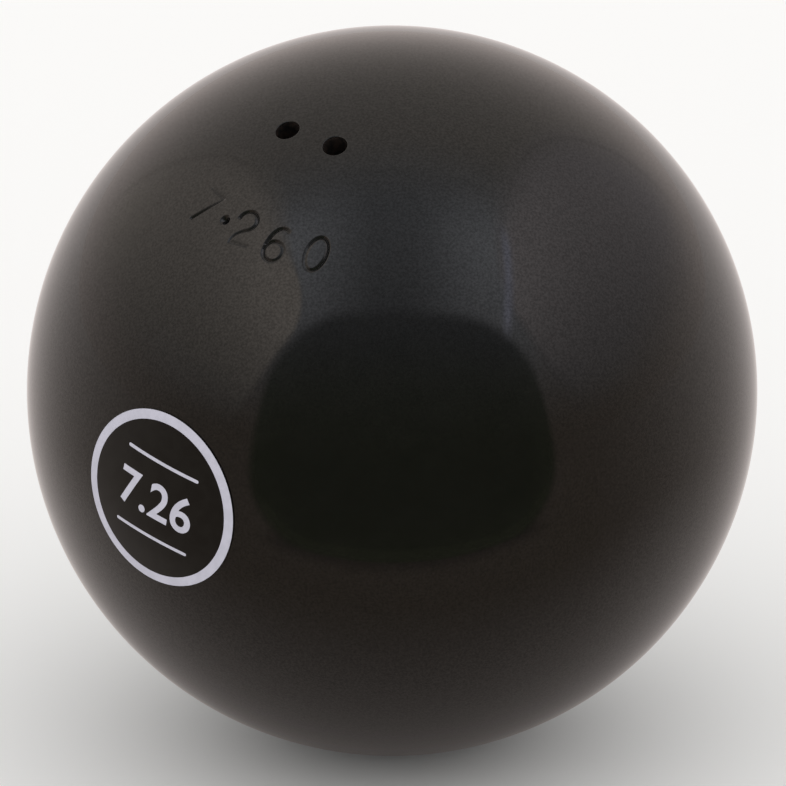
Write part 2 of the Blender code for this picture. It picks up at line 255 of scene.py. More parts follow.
OPENING_DISTANCE = 0.15
OPENING_CARD = (0.25, 0.22)  # its card's half width and top
OPENING_MIDDLE = (0.015, 0.0395)
OPENING_HALF = (0.1285, 0.105)
OPENING_CORNER = 0.068
OPENING_TAPER = 0.6
OPENING_BLUR = (0.06, 0.13, 0.007, 0.014)  # its edge is softer higher up
OPENING_HEIGHT = (0.0, 0.13)  # over which its tint and level change
OPENING_LOW = (0.9, 1.0, 0.5)
OPENING_HIGH = (0.97, 1.0, 1.05)
OPENING_LEVEL = 0.08
OPENING_GAIN = 0.095
OPENING_RIM = (-0.05, 0.0, 0.0, 0.025)  # it is a little lighter near its edge
HEM_INNER = (-0.016, -0.013)
HEM_OUTER = (-0.005, -0.002, *FALL)
HEM_LEVEL = (-0.035, -0.02, 0.035, 0.0)


def plug_frame():
    """The plug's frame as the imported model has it."""
    joints = {joint["name"]: joint for joint in frame["joints"]}
    mounts = {mount["name"]: mount for mount in frame["record"]["mounts"]}
    up = Vector(joints["plug_turn"]["axis"]).normalized()
    floors = [Vector(mounts[f"spanner_hole_{number}"]["pos_m"]) for number in (1, 2)]
    along = floors[1] - floors[0]
    along = (along - up * along.dot(up)).normalized()
    return Matrix((along, up.cross(along), up)).transposed(), (floors[1] - floors[0]).length


def label_frame(plug_turn):
    """A frame at the label, with +Z outward and +Y the label's upright direction."""
    points = [vertex.co for vertex in frame["nodes"]["label"].data.vertices]
    out = sum(points, Vector()).normalized()
    axis = plug_turn.col[2]
    up = (axis - out * axis.dot(out)).normalized()
    up.rotate(Matrix.Rotation(-LABEL_LEAN, 3, out))
    return Matrix((up.cross(out), up, out)).transposed()


PLUG_TURN, HOLE_SPACING = plug_frame()
LABEL_TURN = label_frame(PLUG_TURN)


def turned(bearings, profile):
    """Rows of points round the plug's axis, one for each (radius, height)."""
    return [
        np.column_stack((r * np.cos(bearings), r * np.sin(bearings), np.full(len(bearings), h)))
        for r, h in profile
    ]


def arc(radius, start, end, steps, centre=(0.0, 0.0)):
    """Points on an arc, its angles counted from the first axis."""
    angles = np.linspace(start, end, steps + 1)
    return [(centre[0] + radius * math.cos(a), centre[1] + radius * math.sin(a)) for a in angles]


def circle(radius, columns):
    """A closed rim round the origin, its first point given once."""
    return arc(radius, 0.0, 4 * QUARTER, columns)[:-1]


def full_circle(columns):
    """Bearings all the way round, the last on top of the first."""
    return np.linspace(0.0, 2 * math.pi, columns + 1)


def with_steps(outline, step):
    """The outline with more points on its straight runs, at most a step apart."""
    points = [outline[0]]
    for start, end in zip(outline, outline[1:]):
        count = max(1, math.ceil(math.dist(start, end) / step))
        for share in np.linspace(0.0, 1.0, count + 1)[1:]:
            points.append(tuple(np.array(start) * (1 - share) + np.array(end) * share))
    return points


def roughened(rows, centre, depth, lumps):
    """Moves points to and from a centre, for each size and seed of lumps in turn."""
    rows = np.array(rows)
    for size, seed in lumps:
        shift = Vector((seed, 0.0, 0.0))
        flat = rows.reshape(-1, 3)
        rise = np.array([noise.noise(Vector(point) / size + shift) for point in flat])
        out = flat - centre
        out /= np.maximum(np.linalg.norm(out, axis=1, keepdims=True), WELD)
        rows = (flat + out * rise[:, None] * depth).reshape(rows.shape)
    return list(rows)


def unit(vectors):
    """Vectors with the same directions, each of length one."""
    return vectors / np.linalg.norm(vectors, axis=1, keepdims=True)


def smooth_mesh(name, bm):
    """A smooth mesh from bm, which is freed."""
    mesh = bpy.data.meshes.new(name)
    bm.to_mesh(mesh)
    bm.free()
    mesh.shade_smooth()
    return mesh


def placed(name, data):
    """A new object in the scene."""
    item = bpy.data.objects.new(name, data)
    bpy.context.scene.collection.objects.link(item)
    return item


class Patchwork:
    """Gathers surfaces that share their edges, and welds them into one closed mesh."""

    def __init__(self):
        self.points = []
        self.faces = []
        self.count = 0

    def add(self, points, faces):
        self.points.append(np.asarray(points, float))
        self.faces.append(np.asarray(faces, int) + self.count)
        self.count += len(points)

    def add_rows(self, rows):
        rows = np.asarray(rows)
        height, width = rows.shape[:2]
        place = np.arange(height * width).reshape(height, width)
        corners = (place[:-1, :-1], place[:-1, 1:], place[1:, 1:], place[1:, :-1])
        self.add(rows.reshape(-1, 3), np.stack(corners, axis=-1).reshape(-1, 4))

    def mesh(self, name, exact_normals=None):
        """exact_normals takes the points and gives which of them it knows, and their normals."""
        bm = bmesh.new()
        verts = [bm.verts.new(point) for point in np.concatenate(self.points)]
        for faces in self.faces:
            for face in faces:
                bm.faces.new([verts[i] for i in face])
        bmesh.ops.remove_doubles(bm, verts=bm.verts, dist=WELD)
        bmesh.ops.recalc_face_normals(bm, faces=bm.faces)
        mesh = smooth_mesh(name, bm)
        set_normals(mesh, exact_normals)
        return mesh


def read(items, attribute, width=1, kind=float):
    """An attribute of a mesh's vertices, loops or faces, in rows of this width."""
    values = np.empty(len(items) * width, kind)
    items.foreach_get(attribute, values)
    return values.reshape(-1, width)


def set_normals(mesh, exact_normals=None):
    """Smooth normals in which large faces count for more, so that flat faces look flat."""
    points = read(mesh.vertices, "co", 3)
    corners = read(mesh.loops, "vertex_index", kind=int).ravel()
    sides = read(mesh.polygons, "loop_total", kind=int).ravel()
    facing = read(mesh.polygons, "normal", 3)
    weighted = np.repeat(facing * read(mesh.polygons, "area"), sides, axis=0)
    normals = np.zeros_like(points)
    np.add.at(normals, corners, weighted)
    normals = unit(normals)
    if exact_normals:
        known, exact = exact_normals(points)
        normals[known] = exact
    mesh.normals_split_custom_set_from_vertices(normals.tolist())


def turned_mesh(name, outline, columns, step, middle=0.0, lumps=()):
    """An outline turned round the plug's axis; its lumps rise from a middle on that axis."""
    rows = turned(full_circle(columns), with_steps(outline, step))
    work = Patchwork()
    work.add_rows(roughened(rows, (0.0, 0.0, middle), FILL_GAP / 2, lumps))
    return work.mesh(name)


def add_piece(mesh, materials, body, node, turn=PLUG_TURN):
    """Places a piece, lets it ride on its body and shows it instead of its CAD node."""
    mesh.transform(turn.to_4x4())
    for material in materials:
        mesh.materials.append(material)
    piece = placed(mesh.name, mesh)
    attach(piece, body)
    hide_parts(node)


def choose_materials(mesh, pick):
    """Gives each face the material whose number pick names for its centre."""
    for face in mesh.polygons:
        face.material_index = pick(face.center)


def tooth(rise, crest, root):
    """Radius of a thread at a rise from the middle of a ridge, which repeats each pitch."""
    away = abs((rise / THREAD_PITCH + 0.5) % 1.0 - 0.5) * THREAD_PITCH
    flank = crest - (away - THREAD_PITCH / 16) / math.tan(FLANK_ANGLE)
    return np.clip(flank, root, crest)


def thread_rows(bearings, low, high, crest, root, steps, lead_in=False):
    """Rows that follow a right-hand thread; past its two ends they all lie on the end."""
    climb = THREAD_PITCH * bearings / (2 * math.pi)
    step = THREAD_PITCH / steps
    first = math.floor((low - climb.max()) / step) - 1
    last = math.ceil((high - climb.min()) / step) + 1
    rows = []
    for number in range(first, last + 1):
        height = np.clip(climb + number * step, low, high)
        radius = tooth(height - climb, crest, root)
        if lead_in:
            radius = np.minimum(radius, root + np.maximum(0.0, height - low))
        rows.append(np.column_stack((radius * np.cos(bearings), radius * np.sin(bearings), height)))
    return rows


def turn_to_surface(bearing, distance, lean):
    """Turns +Z to a place on the ball and +Y to an upright direction on its surface."""
    return (
        Matrix.Rotation(bearing, 3, "Z")
        @ Matrix.Rotation(distance, 3, "Y")
        @ Matrix.Rotation(QUARTER - lean, 3, "Z")
    )


def bend(start, corner, end, steps):
    """Points on a curve that leaves start for corner and comes from corner into end."""
    start, corner, end = Vector(start), Vector(corner), Vector(end)
    shares = [step / steps for step in range(steps + 1)]
    return [tuple(start.lerp(corner, s).lerp(corner.lerp(end, s), s)) for s in shares]


def strokes_of(mark):
    """Centre lines of a punched figure, about the figure's middle."""
    half, top = MARK_WIDTH / 2, MARK_HEIGHT / 2
    if mark == "dot":
        return [[(0.0, 0.0), (0.0, 0.0)]]
    if mark == "7":
        return [[(-half, top), (half, top), (-0.3 * half, -top)]]
    if mark == "2":
        hook = arc(half, 1.9 * QUARTER, -0.8 * QUARTER, 16, (0.0, top - half))
        neck = bend(hook[-1], (-half, -0.45 * top), (-half, -top), 10)
        return [hook + neck[1:] + [(half, -top)]]
    if mark == "6":
        bowl = arc(half, 0.0, 4 * QUARTER, 32, (0.0, half - top))
        reach, width = MARK_HEIGHT - half, 1.3 * half
        back = arc(reach, 1.85 * QUARTER, 0.75 * QUARTER, 12, (0.0, half - top))
        back = [(width - half + x * width / reach, y) for x, y in back]
        return [bowl, back]
    oval = arc(top, 0.0, 4 * QUARTER, 40)
    return [[(x * half / top, y) for x, y in oval]]


def distance_to_stroke(places, stroke):
    """Least distance from each place to a line through a stroke's points."""
    nearest = np.full(len(places), np.inf)
    stroke = np.asarray(stroke)
    for start, end in zip(stroke, stroke[1:]):
        along = end - start
        share = (places - start) @ along / max(along @ along, TINY**2)
        foot = start + np.clip(share, 0.0, 1.0)[:, None] * along
        nearest = np.minimum(nearest, np.linalg.norm(places - foot, axis=1))
    return nearest


def punched_depth(directions):
    """How far the punched figures sink the paint, for directions from the ball's centre."""
    depth = np.zeros(len(directions))
    near_cosine = math.cos((MARK_HEIGHT + MARK_WIDTH) / BALL_RADIUS)
    for mark, *angles in MARKS:
        *angles, heavy = map(math.radians, angles)
        local = directions @ np.array(turn_to_surface(*angles))
        near = np.flatnonzero(local[:, 2] > near_cosine)
        places = local[near, :2] / local[near, 2:] * BALL_RADIUS
        away = np.min([distance_to_stroke(places, s) for s in strokes_of(mark)], axis=0)
        reach, deepest, force = DOT_REACH, DOT_DEPTH, 1.0
        if mark != "dot":
            side = places @ (math.cos(heavy), math.sin(heavy)) / MARK_HEIGHT
            force = np.clip(PUNCH_FORCE + PUNCH_TILT * side, PUNCH_LEAST, 1.0)
            reach, deepest = MARK_REACH, MARK_DEPTH
        share = np.clip(away / reach, 0.0, 1.0)
        sunk = deepest * force * (1 - share) ** STROKE_POWER
        depth[near] = np.maximum(depth[near], sunk)
    return depth


def skin_normals(points):
    """Exact normals of the ball's painted surface, punched figures included."""
    reach = np.linalg.norm(points, axis=1)
    mouth = MOUTH_RADIUS + EDGE
    outside = (np.hypot(points[:, 0], points[:, 1]) > mouth - WELD) | (points[:, 2] < 0)
    known = np.flatnonzero(outside & (reach > BALL_RADIUS - DOT_DEPTH - WELD))
    out = points[known] / reach[known, None]
    side = np.cross(out, (0.0, 0.0, 1.0))
    side[np.linalg.norm(side, axis=1) < TINY] = (1.0, 0.0, 0.0)
    side = unit(side)
    over = np.cross(out, side)
    step = 1e-4
    depth = punched_depth(out)
    normals = out * (BALL_RADIUS - depth)[:, None]
    for way in (side, over):
        moved = punched_depth(unit(out + step * way))
        normals += way * ((moved - depth) / step)[:, None]
    return known, unit(normals)


def over_marks():
    """Places close together over the punched figures, on the map that skin_places reads."""
    across, along = MARK_WIDTH / 2 + DOT_REACH, MARK_HEIGHT / 2 + DOT_REACH
    x, y = np.meshgrid(np.arange(-across, across, MARK_MESH), np.arange(-along, along, MARK_MESH))
    x[::2] += MARK_MESH / 2
    grid = np.column_stack((x.ravel(), y.ravel()))
    places = []
    for mark, *angles, _ in MARKS:
        away = np.min([distance_to_stroke(grid, stroke) for stroke in strokes_of(mark)], axis=0)
        reach = DOT_REACH if mark == "dot" else MARK_REACH
        near = grid[away < reach + MARK_MESH]
        local = np.column_stack((near, np.full(len(near), BALL_RADIUS)))
        turned_out = local @ np.array(turn_to_surface(*map(math.radians, angles))).T
        across_axis = np.hypot(turned_out[:, 0], turned_out[:, 1])
        distance = np.arctan2(across_axis, turned_out[:, 2]) * BALL_RADIUS
        places.append(turned_out[:, :2] / across_axis[:, None] * distance[:, None])
    return np.concatenate(places)


def skin_places(flat):
    """Places on the skin from a map of it: distance and bearing from the plug's axis."""
    distance = np.linalg.norm(flat, axis=1)
    angle = distance / BALL_RADIUS
    side = flat / distance[:, None] * np.sin(angle)[:, None]
    out = np.column_stack((side, np.cos(angle)))
    return out * (BALL_RADIUS - punched_depth(out))[:, None]


def make_ball(paint, iron):
    """The painted skin with its punched figures, and the tapped bore and chamber inside."""
    bearings = full_circle(BALL_COLUMNS)
    mouth = math.asin((MOUTH_RADIUS + EDGE) / BALL_RADIUS)
    rims = [circle(angle * BALL_RADIUS, BALL_COLUMNS) for angle in (MARKED_CAP, mouth)]
    work = Patchwork()
    flat, triangles = filled_flat(rims, SKIN_MESH, over_marks())
    work.add(skin_places(flat), triangles)
    rest = [
        (BALL_RADIUS * math.sin(angle), BALL_RADIUS * math.cos(angle))
        for angle in np.linspace(math.pi, MARKED_CAP, BALL_ROWS)
    ]
    work.add_rows(turned(bearings, rest))

    brim = math.cos(mouth) * BALL_RADIUS
    relief = THREAD_CREST + RELIEF_WIDTH
    edge = arc(EDGE, QUARTER, 2 * QUARTER, 3, (MOUTH_RADIUS + EDGE, brim - EDGE))
    mouth_rows = turned(bearings, edge + [(MOUTH_RADIUS, COLLAR_SEAT - SEAM)])
    bore_rows = thread_rows(
        bearings, PLUG_FOOT, COLLAR_SEAT - SEAM, THREAD_CREST, THREAD_ROOT, BORE_STEPS
    )[::-1]
    chamber = [
        (relief, PLUG_FOOT),
        (relief, LIP_TOP),
        (CHAMBER_RADIUS + BREAK_EDGE, LIP_TOP),
        (CHAMBER_RADIUS, LIP_TOP - BREAK_EDGE),
    ]
    chamber += [(CHAMBER_RADIUS, h) for h in np.linspace(LIP_TOP, CHAMBER_FLOOR, 8)[1:]]
    chamber.append((0.0, DRILL_TIP))
    work.add_rows(mouth_rows + bore_rows + turned(bearings, chamber))
    mesh = work.mesh("ball_skin", skin_normals)
    painted = BALL_RADIUS - PAINT_DEPTH
    choose_materials(mesh, lambda centre: int(centre.length < painted))
    add_piece(mesh, (paint, iron), "ball", "ball")


def crown_height(x, y):
    """Height of the ball's surface over flat places."""
    return np.sqrt(BALL_RADIUS**2 - np.asarray(x) ** 2 - np.asarray(y) ** 2)


def lifted(places, radius):
    """Flat places raised onto the ball, and moved out from its centre to this radius."""
    x, y = np.asarray(places).T
    return np.column_stack((x, y, crown_height(x, y))) * radius / BALL_RADIUS


def sphere_normals(radius):
    """Gives the exact normals of the points that lie on a ball of this radius."""

    def exact(points):
        known = np.flatnonzero(abs(np.linalg.norm(points, axis=1) - radius) < WELD)
        return known, points[known] / radius

    return exact


def inside(places, rims):
    """Which places lie inside the closed rims, counting a rim in a rim as a hole."""
    crossings = np.zeros(len(places), int)
    x, y = places.T
    for rim in rims:
        for (ax, ay), (bx, by) in zip(rim, rim[1:] + rim[:1]):
            if ay != by:
                beside = (ay > y) != (by > y)
                crossings += beside & (x < ax + (y - ay) * (bx - ax) / (by - ay))
    return crossings % 2 == 1


def filled_flat(rims, spacing, more=()):
    """Triangles that fill flat closed rims, with points spread evenly inside, and more."""
    rims = [with_steps(rim + rim[:1], spacing)[:-1] for rim in rims]
    places, edges = [], []
    for rim in rims:
        first = len(places)
        edges += [(first + i, first + (i + 1) % len(rim)) for i in range(len(rim))]
        places += rim
    low, high = np.min(places, axis=0), np.max(places, axis=0)
    rise = spacing * math.sqrt(0.75)
    grid = []
    for number, y in enumerate(np.arange(low[1], high[1], rise)):
        grid += [(x, y) for x in np.arange(low[0] + spacing / 2 * (number % 2), high[0], spacing)]
    grid = np.array(grid)
    grid = grid[inside(grid, rims)]
    gaps = np.min([distance_to_stroke(grid, rim + rim[:1]) for rim in rims], axis=0)
    places += [tuple(place) for place in (*grid[gaps > spacing / 2], *more)]
    found = delaunay_2d_cdt([Vector(place) for place in places], edges, [], 0, TINY)
    flat = np.array([tuple(place) for place in found[0]])
    triangles = np.array(found[2])
    return flat, triangles[inside(flat[triangles].mean(axis=1), rims)]


def hole_rim(side, radius, drop):
    """Points round a spanner hole, a drop below the crown."""
    angles = full_circle(HOLE_COLUMNS)
    x = side * HOLE_SPACING / 2 + radius * np.cos(angles)
    y = radius * np.sin(angles)
    return np.column_stack((x, y, crown_height(x, y) - drop))


def make_crown(work):
    """The painted top of the plug, round its two spanner holes."""
    rims = [circle(COLLAR_RADIUS - EDGE, PLUG_COLUMNS)]
    for side in (-1, 1):
        hole = hole_rim(side, HOLE_RADIUS + HOLE_EDGE, 0.0)[:-1, :2]
        rims.append([tuple(place) for place in hole])
    flat, triangles = filled_flat(rims, CROWN_MESH)
    work.add(lifted(flat, BALL_RADIUS), triangles)


def make_hole(work, side):
    """A spanner hole: the paint's round edge, the wall, and a floor with a small radius."""
    edge = arc(HOLE_EDGE, QUARTER, 2 * QUARTER, 5, (HOLE_EDGE, -HOLE_EDGE))
    rows = [hole_rim(side, HOLE_RADIUS + out, -rise) for out, rise in edge]
    # The wall's level rows start below the round edge, which slopes with the crown
    low = HOLE_FLOOR + HOLE_EDGE
    wall = [(HOLE_RADIUS, h) for h in np.linspace(BALL_RADIUS - 5 * HOLE_EDGE, low, 6)]
    wall += arc(HOLE_EDGE, 0.0, -QUARTER, 3, (HOLE_RADIUS - HOLE_EDGE, low))[1:]
    wall.append((0.0, HOLE_FLOOR))
    middle = np.array((side * HOLE_SPACING / 2, 0.0, 0.0))
    rows += [row + middle for row in turned(full_circle(HOLE_COLUMNS), wall)]
    work.add_rows(rows)


def make_plug(paint, steel, grime):
    """Painted crown, bare threaded barrel, and the spigot and lip that keep the washer."""
    work = Patchwork()
    make_crown(work)
    for side in (-1, 1):
        make_hole(work, side)

    bearings = full_circle(PLUG_COLUMNS)
    brim = float(crown_height(COLLAR_RADIUS - EDGE, 0.0))
    head = [
        *arc(EDGE, QUARTER, 0.0, 3, (COLLAR_RADIUS - EDGE, brim - EDGE)),
        (COLLAR_RADIUS, COLLAR_SEAT + COLLAR_CHAMFER),
        (COLLAR_RADIUS - COLLAR_CHAMFER, COLLAR_SEAT),
    ]
    crest, root = THREAD_CREST - THREAD_PLAY, THREAD_ROOT - THREAD_PLAY
    barrel = thread_rows(
        bearings, PLUG_FOOT, COLLAR_SEAT, crest, root, BARREL_STEPS, lead_in=True
    )[::-1]
    lip = SPIGOT_RADIUS + LIP_WIDTH
    round_edge = LIP_HEIGHT / 3
    foot = [
        (SPIGOT_RADIUS + BREAK_EDGE, PLUG_FOOT),
        (SPIGOT_RADIUS, PLUG_FOOT - BREAK_EDGE),
        (SPIGOT_RADIUS, LIP_TOP),
        (lip - BREAK_EDGE / 2, LIP_TOP),
        (lip, LIP_TOP - BREAK_EDGE / 2),
        *arc(round_edge, 0.0, -QUARTER, 4, (lip - round_edge, LIP_BOTTOM + round_edge)),
        (0.0, LIP_BOTTOM),
    ]
    work.add_rows(turned(bearings, head) + barrel + turned(bearings, foot))
    mesh = work.mesh("plug_body", sphere_normals(BALL_RADIUS))
    paint_end = COLLAR_SEAT + HEAD_HEIGHT / 2

    def part_of(centre):
        to_hole = math.hypot(abs(centre.x) - HOLE_SPACING / 2, centre.y)
        if centre.z > HOLE_FLOOR - WELD and to_hole < HOLE_RADIUS + WELD:
            return 2
        return int(centre.z < paint_end)

    choose_materials(mesh, part_of)
    add_piece(mesh, (paint, steel, grime), "plug", "plug")


def make_washer(fibre):
    """The fibre washer, squeezed between the plug's foot and the ball's seat."""
    low, high = LIP_TOP + SEAM, PLUG_FOOT - SEAM
    inner, outer = SPIGOT_RADIUS + SEAM, WASHER_RADIUS
    e = WASHER_EDGE
    loop = [
        *arc(e, -QUARTER, 0.0, 4, (outer - e, low + e)),
        *arc(e, 0.0, QUARTER, 4, (outer - e, high - e)),
        *arc(e, QUARTER, 2 * QUARTER, 4, (inner + e, high - e)),
        *arc(e, 2 * QUARTER, 3 * QUARTER, 4, (inner + e, low + e)),
    ]
    loop.append(loop[0])
    mesh = turned_mesh("fibre_washer", loop, WASHER_COLUMNS, WASHER_MESH)
    add_piece(mesh, (fibre,), "washer", "seal_washer")


def make_wad(felt):
    """A disc of felt pressed into the chamber on top of the pellets."""
    high = LIP_BOTTOM - FILL_GAP
    low = high - WAD_THICKNESS
    e = WAD_EDGE
    outline = [
        (0.0, low),
        *arc(e, -QUARTER, 0.0, 6, (FILL_RADIUS - e, low + e)),
        *arc(e, 0.0, QUARTER, 6, (FILL_RADIUS - e, high - e)),
        (0.0, high),
    ]
    mesh = turned_mesh("felt_wad", outline, WAD_COLUMNS, WAD_MESH, (low + high) / 2, WAD_LUMPS)
    add_piece(mesh, (felt,), "ball", "packing_wad")


def make_pellet(number, lead):
    """A lead pellet, a little out of round and dented by its neighbours."""
    node = f"trim_pellet_{number}"
    corners = [vertex.co for vertex in frame["nodes"][node].data.vertices]
    place = sum(corners, Vector()) / len(corners)
    draw = random.Random(number)
    dents = []
    for _ in range(PELLET_DENTS):
        way = Vector([draw.gauss(0.0, 1.0) for _ in range(3)]).normalized()
        dents.append((way, PELLET_RADIUS * draw.uniform(*PELLET_DENTED)))
    bm = bmesh.new()
    bmesh.ops.create_icosphere(bm, subdivisions=5, radius=1.0)
    for vertex in bm.verts:
        out = vertex.co.normalized()
        lumps = abs(noise.noise(out * PELLET_LUMPS + Vector((number, 0, 0))))
        radius = PELLET_RADIUS * (1 - PELLET_UNEVEN * lumps)
        for way, reach in dents:
            radius = min(radius, reach / max(out.dot(way), WELD))
        vertex.co = place + out * radius
    mesh = smooth_mesh(f"pellet_{number}", bm)
    add_piece(mesh, (lead,), "ball", node, Matrix.Identity(3))


def make_lead_core(lead):
    """Lead poured into the chamber: it took the drill's point and sank in the middle."""
    tip = DRILL_TIP + 2 * FILL_GAP
    shoulder = tip + FILL_RADIUS / math.tan(DRILL_POINT / 2)
    e = 2 * BREAK_EDGE
    top = [
        (r, LEAD_HEIGHT - LEAD_DIMPLE * math.exp(-((r / FILL_RADIUS * LEAD_DIMPLE_FALL) ** 2)))
        for r in np.linspace(FILL_RADIUS - e, 0.0, 24)
    ]
    outline = [
        (0.0, tip),
        (FILL_RADIUS, shoulder),
        *arc(e, 0.0, QUARTER, 4, (FILL_RADIUS - e, top[0][1] - e)),
        *top[1:],
    ]
    middle = (tip + LEAD_HEIGHT) / 2
    mesh = turned_mesh("poured_lead", outline, LEAD_COLUMNS, LEAD_MESH, middle, LEAD_LUMPS)
    add_piece(mesh, (lead,), "ball", "lead_core")


def make_label_film(vinyl):
    """The label's disc of vinyl, with a softly rounded edge."""
    low, high, edge = BALL_RADIUS + SEAM, FILM_RADIUS, LABEL_RADIUS
    outline = [(r, low) for r in np.linspace(0.0, edge, 14)]
    outline += arc(LABEL_EDGE, 0.0, QUARTER, 4, (edge - LABEL_EDGE, high - LABEL_EDGE))
    outline += [(r, high) for r in np.linspace(edge - LABEL_EDGE, 0.0, 24)[1:]]
    rings = turned(full_circle(LABEL_COLUMNS), outline)
    work = Patchwork()
    work.add_rows([lifted(ring[:, :2], ring[0, 2]) for ring in rings])
    mesh = work.mesh("label_film", sphere_normals(FILM_RADIUS))
    add_piece(mesh, (vinyl,), "ball", "label", LABEL_TURN)


def rims_of(mesh):
    """Closed outlines of a flat mesh."""
    bm = bmesh.new()
    bm.from_mesh(mesh)
    bmesh.ops.remove_doubles(bm, verts=bm.verts, dist=WELD)
    rims = []
    for start in bm.edges:
        if start.tag or not start.is_boundary:
            continue
        rim, edge, vert = [], start, start.verts[0]
        while not edge.tag:
            edge.tag = True
            rim.append(tuple(vert.co.xy))
            vert = edge.other_vert(vert)
            onward = [e for e in vert.link_edges if e.is_boundary and not e.tag]
            edge = onward[0] if onward else edge
        rims.append(rim)
    bm.free()
    return rims


def number_rims():
    """Outlines of the printed number, with its middle at the origin."""
    curve = bpy.data.curves.new("number", "FONT")
    curve.body = "7.26"
    curve.offset = NUMBER_WEIGHT / NUMBER_HEIGHT
    curve.resolution_u = 6
    text = bpy.data.objects.new("number", curve)
    rims = rims_of(bpy.data.meshes.new_from_object(text))
    bpy.data.objects.remove(text)
    corners = np.array([place for rim in rims for place in rim])
    low, high = corners.min(axis=0), corners.max(axis=0)
    scale = NUMBER_HEIGHT / (high[1] - low[1])
    return [[tuple((np.array(p) - (low + high) / 2) * scale) for p in rim] for rim in rims]


def make_label_print(ink):
    """Pale ink on the label: a ring along its edge, and the ball's mass between two rules."""
    rims = number_rims() + [circle(radius, LABEL_COLUMNS) for radius in RING_RADII]
    end, half = RULE_LENGTH / 2, RULE_WIDTH / 2
    for rise in (-RULE_RISE, RULE_RISE):
        rims.append(
            arc(half, -QUARTER, QUARTER, 8, (end, rise))
            + arc(half, QUARTER, 3 * QUARTER, 8, (-end, rise))
        )
    flat, triangles = filled_flat(rims, PRINT_MESH)
    low = lifted(flat, FILM_RADIUS)
    high = lifted(flat, FILM_RADIUS + INK_THICKNESS)
    sides = np.concatenate((triangles[:, :2], triangles[:, 1:], triangles[:, ::2]))
    sides, counts = np.unique(np.sort(sides, axis=1), axis=0, return_counts=True)
    start, end = sides[counts == 1].T
    work = Patchwork()
    work.add(high, triangles)
    work.add(low, triangles)
    below = len(flat)
    edge = np.column_stack((start, end, end + below, start + below))
    work.add(np.concatenate((high, low)), edge)
    mesh = work.mesh("label_print", sphere_normals(FILM_RADIUS + INK_THICKNESS))
    add_piece(mesh, (ink,), "ball", "label", LABEL_TURN)


def make_camera():
    """A long lens from the photograph's side."""
    back = Vector((0.0, -math.cos(CAMERA_ELEVATION), math.sin(CAMERA_ELEVATION)))
    right = Vector((1.0, 0.0, 0.0))
    up = back.cross(right)
    data = bpy.data.cameras.new("camera")
    data.lens = CAMERA_LENS
    data.sensor_width = 36.0
    data.clip_start = 0.01
    camera = placed("camera", data)
    camera.location = back * CAMERA_DISTANCE + right * CAMERA_RIGHT + up * CAMERA_RISE
    camera.rotation_euler = Matrix((right, up, back)).transposed().to_euler()
    bpy.context.scene.camera = camera


class Nodes:
    """Short ways to add and join the nodes of one material or of the world."""

    def __init__(self, tree):
        self.tree = tree

    def add(self, kind, **settings):
        node = self.tree.nodes.new("ShaderNode" + kind)
        for name, value in settings.items():
            setattr(node, name, value)
        return node

    def put(self, value, socket):
        if isinstance(value, bpy.types.NodeSocket):
            self.tree.links.new(value, socket)
        else:
            socket.default_value = value

    def fill(self, sockets, *values):
        for value, socket in zip(values, sockets):
            self.put(value, socket)

    def math(self, operation, *values):
        node = self.add("Math", operation=operation)
        self.fill(node.inputs, *values)
        return node.outputs[0]

    def gap(self, first, second):
        """How far apart two numbers are."""
        return self.math("ABSOLUTE", self.math("SUBTRACT", first, second))

    def times(self, product, *others):
        """Multiplies numbers."""
        for value in others:
            product = self.math("MULTIPLY", product, value)
        return product

    def root_of_squares(self, first, second):
        squares = self.math("ADD", self.times(first, first), self.times(second, second))
        return self.math("SQRT", squares)

    def ramp(self, value, low, high, start=0.0, end=1.0):
        """A smooth step from start at low to end at high."""
        node = self.add("MapRange", interpolation_type="SMOOTHSTEP")
        self.fill(node.inputs, value, low, high, start, end)
        return node.outputs[0]

    def mix(self, share, first, second):
        """Mixes two colours, given as (red, green, blue) or as sockets."""
        node = self.add("Mix", data_type="RGBA")
        colours = [(*c, 1.0) if isinstance(c, tuple) else c for c in (first, second)]
        self.fill((node.inputs[0], *node.inputs[6:8]), share, *colours)
        return node.outputs[2]

    def scaled(self, colour, level):
        """A colour times a number."""
        node = self.add("VectorMath", operation="SCALE")
        self.put(colour, node.inputs[0])
        self.put(level, node.inputs["Scale"])
        return node.outputs[0]

    def between(self, share, first, second):
        """Mixes two numbers."""
        node = self.add("Mix", data_type="FLOAT")
        self.fill((node.inputs[0], *node.inputs[2:4]), share, first, second)
        return node.outputs[0]

    def vector(self, operation, *values):
        """A vector operation that gives a number."""
        node = self.add("VectorMath", operation=operation)
        self.fill(node.inputs, *values)
        return node.outputs["Value"]

    def split(self, vector):
        node = self.add("SeparateXYZ")
        self.put(vector, node.inputs[0])
        return node.outputs

    def noise(self, place, size, detail=2.0):
        """Noise round 0.5 whose largest lumps have this size."""
        node = self.add("TexNoise")
        self.put(place, node.inputs["Vector"])
        node.inputs["Scale"].default_value = 1.0 / size
        node.inputs["Detail"].default_value = detail
        return node.outputs["Fac"]

    def bump(self, height, depth):
        node = self.add("Bump")
        self.put(height, node.inputs["Height"])
        node.inputs["Distance"].default_value = depth
        return node.outputs["Normal"]

    def either(self, share, first, second, output):
        """Sends a mix of two shaders out."""
        node = self.add("MixShader")
        self.fill(node.inputs, share, first.outputs[0], second.outputs[0])
        self.put(node.outputs[0], output.inputs["Surface"])

    def beyond(self, across, along, middle, half, corner):
        """How far places lie outside a rectangle with round corners; inside it, below 0."""
        over = []
        for value, centre, reach in zip((across, along), middle, half):
            off = self.math("SUBTRACT", self.gap(value, centre), reach - corner)
            over.append(self.math("MAXIMUM", off, 0.0))
        return self.math("SUBTRACT", self.root_of_squares(*over), corner)


